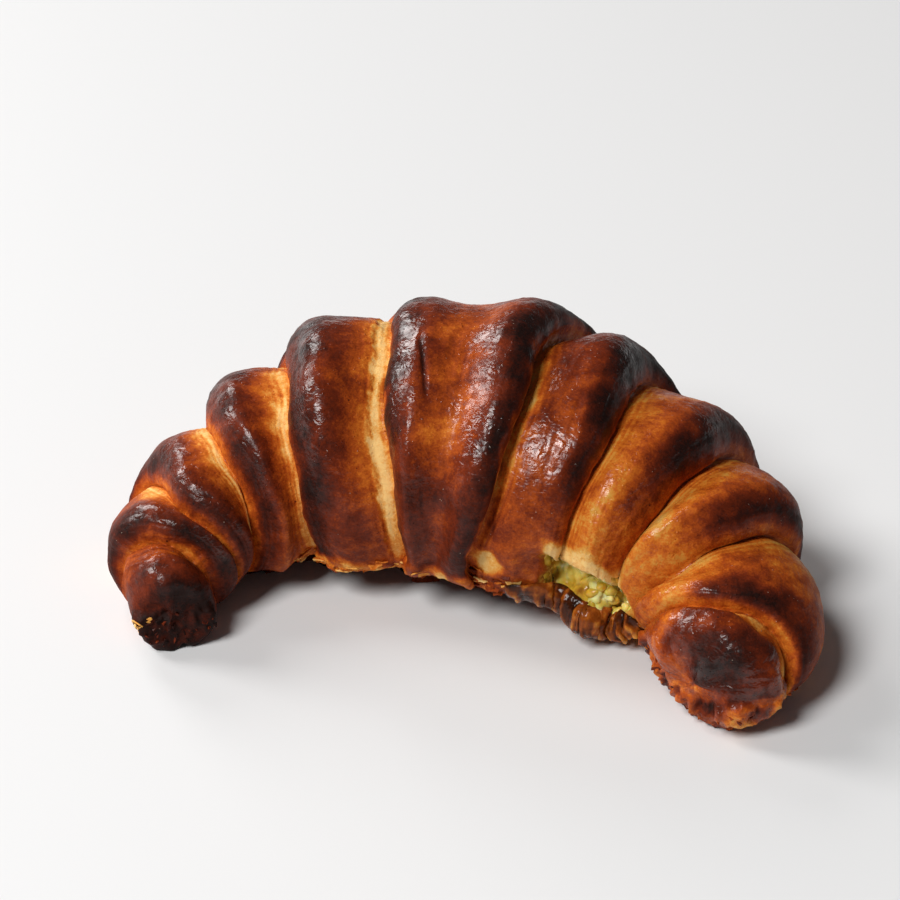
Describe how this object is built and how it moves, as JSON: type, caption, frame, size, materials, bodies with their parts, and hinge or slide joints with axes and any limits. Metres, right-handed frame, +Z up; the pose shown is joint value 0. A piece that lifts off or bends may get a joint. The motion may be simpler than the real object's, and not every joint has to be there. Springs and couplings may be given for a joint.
{
  "type": "gluten-free croissant",
  "caption": "Crescent-shaped croissant of rolled dough, baked dark, with stepped overlapping turns, blunt tips and a burst seam low on its inner side.",
  "frame": {"origin": "under the middle of the croissant's bounding box, on the surface it lies on", "axes": "+X from the left tip to the right tip, +Y towards the convex back, away from the tips, +Z up"},
  "size_m": [0.1564, 0.0926, 0.0601],
  "materials": {
    "browned_crust": "egg-washed crust baked dark brown, semi-gloss on the crests, pale gold and matt in the seams"
  },
  "bodies": {
    "root": {"croissant": "browned_crust"}
  },
  "joints": []
}
